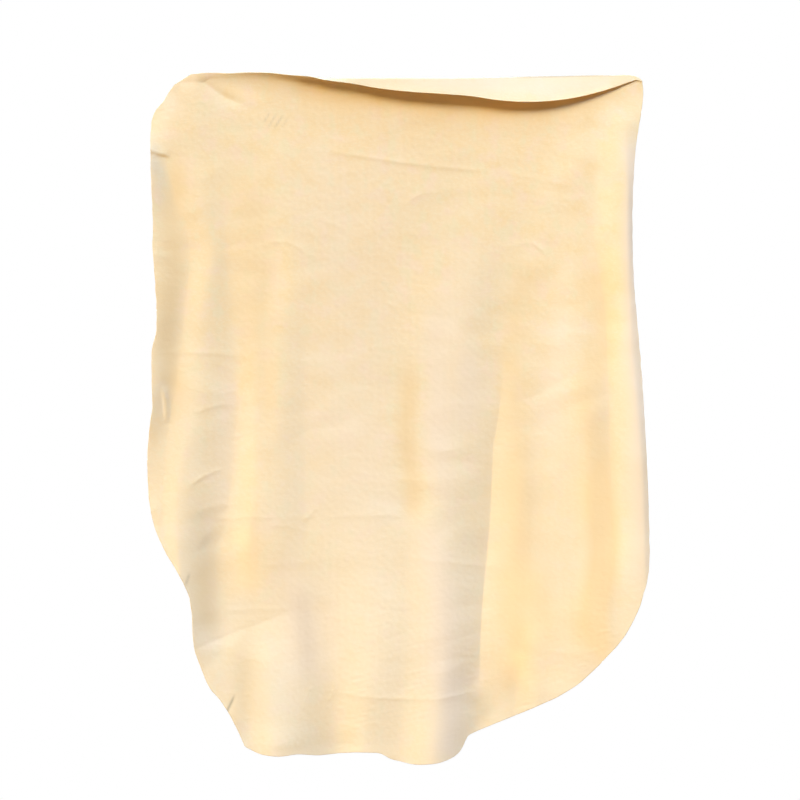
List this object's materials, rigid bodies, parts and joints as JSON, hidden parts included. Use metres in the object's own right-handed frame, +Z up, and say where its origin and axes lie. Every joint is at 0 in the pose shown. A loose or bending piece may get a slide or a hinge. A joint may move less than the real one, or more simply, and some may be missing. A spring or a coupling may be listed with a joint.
{
  "type": "chamois leather",
  "caption": "Natural-shaped chamois leather hide hung by its top corners, upper edge folded forward as a flap, draped in soft vertical waves, creased for storage.",
  "frame": {"origin": "near the middle of the top crease between the two hanging corners, in the hanging plane of the skin, level with the top of the crease", "axes": "+Z up along the hang, +X to the right of someone facing the front, the front of the hide faces -Y"},
  "size_m": [0.6005, 0.02, 0.8315],
  "materials": {
    "chamois_suede": "soft matt suede nap on both sides, pale cream yellow, lightly mottled"
  },
  "bodies": {
    "upper_skin": {"upper_skin": "chamois_suede"},
    "top_flap": {"top_flap": "chamois_suede"},
    "middle_skin": {"middle_skin": "chamois_suede"},
    "lower_skin": {"lower_skin": "chamois_suede"},
    "foot_skin": {"foot_skin": "chamois_suede"}
  },
  "joints": [
    {"name": "flap_crease", "type": "hinge", "parent": "upper_skin", "child": "top_flap", "pos_m": [0, 0.0005, -0.0028], "axis": [-0.9998, 0, -0.0182], "range_deg": [0, 130]},
    {"name": "first_fold", "type": "hinge", "parent": "upper_skin", "child": "middle_skin", "pos_m": [0, -0.0012, -0.204], "axis": [-1, 0, 0], "range_deg": [0, 150]},
    {"name": "second_fold", "type": "hinge", "parent": "middle_skin", "child": "lower_skin", "pos_m": [0, 0.0032, -0.4], "axis": [-1, 0, 0], "range_deg": [-150, 0]},
    {"name": "third_fold", "type": "hinge", "parent": "lower_skin", "child": "foot_skin", "pos_m": [0, -0.0064, -0.582], "axis": [-1, 0, 0], "range_deg": [0, 140]}
  ]
}
